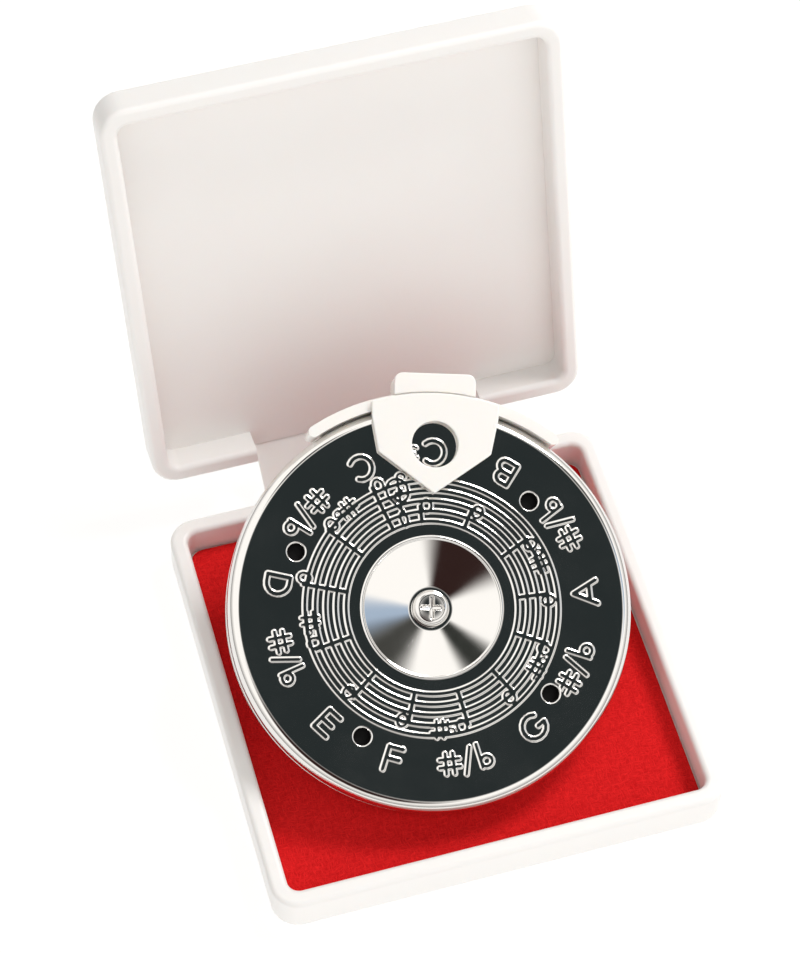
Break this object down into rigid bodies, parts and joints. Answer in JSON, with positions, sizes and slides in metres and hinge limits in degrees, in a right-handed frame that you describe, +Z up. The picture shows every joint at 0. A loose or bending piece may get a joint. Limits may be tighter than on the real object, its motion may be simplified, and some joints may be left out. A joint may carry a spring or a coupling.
{
  "type": "pitch pipe in case",
  "caption": "Round chromatic pitch pipe with a sliding note selector and chromed covers, leaning in its open hinged case lined with red felt.",
  "frame": {"origin": "middle of the case's flat underside, on the surface it stands on", "axes": "+X along the hinge, to the right seen from the front; +Y from the front rim toward the hinge and the open lid; +Z up"},
  "size_m": [0.084, 0.122, 0.0911],
  "materials": {
    "case_plastic": "moulded white polypropylene, satin",
    "strap_plastic": "thin white polypropylene, satin",
    "red_felt": "pressed felt",
    "cover_chrome": "pressed sheet, bright chrome plate",
    "screw_chrome": "bright chrome plate",
    "nut_steel": "bright zinc plate",
    "comb_plastic": "moulded, black",
    "reed_brass": "rolled sheet",
    "selector_plastic": "moulded, white gloss"
  },
  "bodies": {
    "case": {"case_base": "case_plastic", "felt_liner": "red_felt"},
    "strap": {"hinge_strap": "strap_plastic"},
    "lid": {"case_lid": "case_plastic"},
    "pipe": {"top_cover": "cover_chrome", "bottom_cover": "cover_chrome", "reed_body": "comb_plastic", "reed_plate": "reed_brass", "reed_rivets": "reed_brass", "centre_screw": "screw_chrome", "centre_nut": "nut_steel", "reed_high_c": "reed_brass", "reed_c": "reed_brass", "reed_c_sharp": "reed_brass", "reed_d": "reed_brass", "reed_d_sharp": "reed_brass", "reed_e": "reed_brass", "reed_f": "reed_brass", "reed_f_sharp": "reed_brass", "reed_g": "reed_brass", "reed_g_sharp": "reed_brass", "reed_a": "reed_brass", "reed_a_sharp": "reed_brass", "reed_b": "reed_brass"},
    "selector": {"selector_ring": "selector_plastic", "selector_band": "selector_plastic", "selector_pointer": "selector_plastic", "mouthpiece": "selector_plastic"}
  },
  "joints": [
    {"name": "strap_hinge", "type": "hinge", "parent": "case", "child": "strap", "pos_m": [0, 0.0422, 0.00135], "axis": [1, 0, 0], "range_deg": [0, 54]},
    {"name": "lid_hinge", "type": "hinge", "parent": "strap", "child": "lid", "pos_m": [0, 0.05377, 0.00975], "axis": [1, 0, 0], "range_deg": [0, 54]},
    {"name": "pipe_out", "type": "slide", "parent": "case", "child": "pipe", "axis": [0, -0.8192, 0.5736], "range_m": [0, 0.16]},
    {"name": "selector_turn", "type": "hinge", "parent": "pipe", "child": "selector", "pos_m": [-0.0019, 0.0046, 0.01838], "axis": [0, -0.4384, 0.8988], "range_deg": [-332.31, 0]}
  ],
  "couplings": [
    {"joint": "strap_hinge", "follows": "pipe_out", "rad_per_m": 5.8904},
    {"joint": "lid_hinge", "follows": "pipe_out", "rad_per_m": 5.8904}
  ]
}
